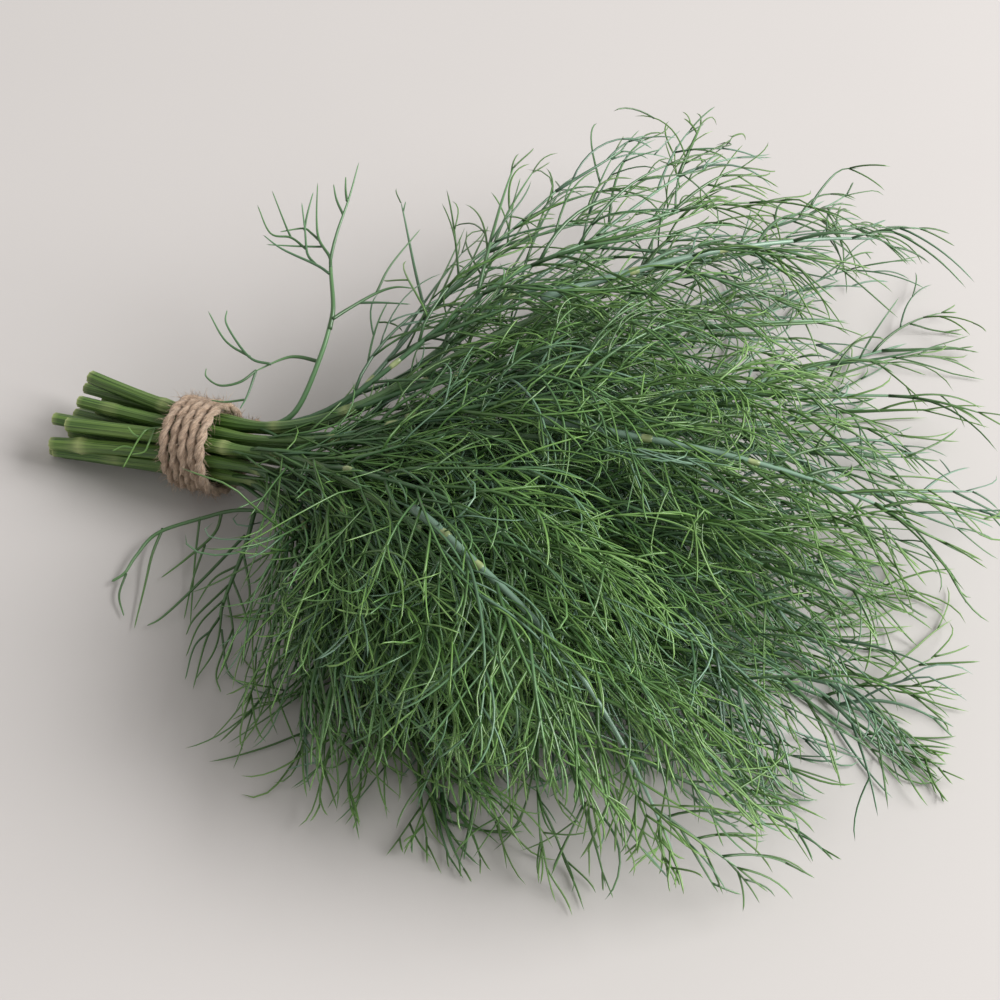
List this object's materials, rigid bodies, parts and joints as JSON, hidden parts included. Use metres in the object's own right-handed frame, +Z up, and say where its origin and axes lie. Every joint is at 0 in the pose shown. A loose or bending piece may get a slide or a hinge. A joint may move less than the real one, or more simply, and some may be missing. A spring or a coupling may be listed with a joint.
{
  "type": "dill bunch",
  "caption": "Fresh dill bunch lying down: cut green stems bound with jute twine, opening into a wide fan of feathery thread-like leaves.",
  "frame": {"origin": "on the table, under the middle of the bunch's outline", "axes": "+X along the bunch from the cut stem ends to the leaf tips, +Y to its left, +Z up"},
  "size_m": [0.289, 0.274, 0.0604],
  "materials": {
    "stem": "satin",
    "leaf": "matte",
    "twine": "matte"
  },
  "bodies": {
    "root": {"stem_01": "stem", "leaf_01_left": "leaf", "leaf_01_right": "leaf", "leaf_01_tip": "leaf", "stem_02": "stem", "leaf_02_left": "leaf", "leaf_02_right": "leaf", "leaf_02_tip": "leaf", "stem_03": "stem", "leaf_03_left": "leaf", "leaf_03_right": "leaf", "leaf_03_tip": "leaf", "stem_04": "stem", "leaf_04_left": "leaf", "leaf_04_right": "leaf", "leaf_04_tip": "leaf", "stem_05": "stem", "leaf_05_left": "leaf", "leaf_05_right": "leaf", "leaf_05_tip": "leaf", "stem_06": "stem", "leaf_06_left": "leaf", "leaf_06_right": "leaf", "leaf_06_tip": "leaf", "stem_07": "stem", "leaf_07_left": "leaf", "leaf_07_right": "leaf", "leaf_07_tip": "leaf", "stem_08": "stem", "leaf_08_left": "leaf", "leaf_08_right": "leaf", "leaf_08_tip": "leaf", "stem_09": "stem", "leaf_09_left": "leaf", "leaf_09_right": "leaf", "leaf_09_tip": "leaf", "stem_10": "stem", "leaf_10_left": "leaf", "leaf_10_right": "leaf", "leaf_10_tip": "leaf", "stem_11": "stem", "leaf_11_left": "leaf", "leaf_11_right": "leaf", "leaf_11_tip": "leaf", "stem_12": "stem", "leaf_12_left": "leaf", "leaf_12_right": "leaf", "leaf_12_tip": "leaf", "stem_13": "stem", "leaf_13_left": "leaf", "leaf_13_right": "leaf", "leaf_13_tip": "leaf", "stem_14": "stem", "leaf_14_left": "leaf", "leaf_14_right": "leaf", "leaf_14_tip": "leaf", "sprig_far": "leaf", "sprig_near": "leaf", "twine_tie": "twine"}
  },
  "joints": []
}
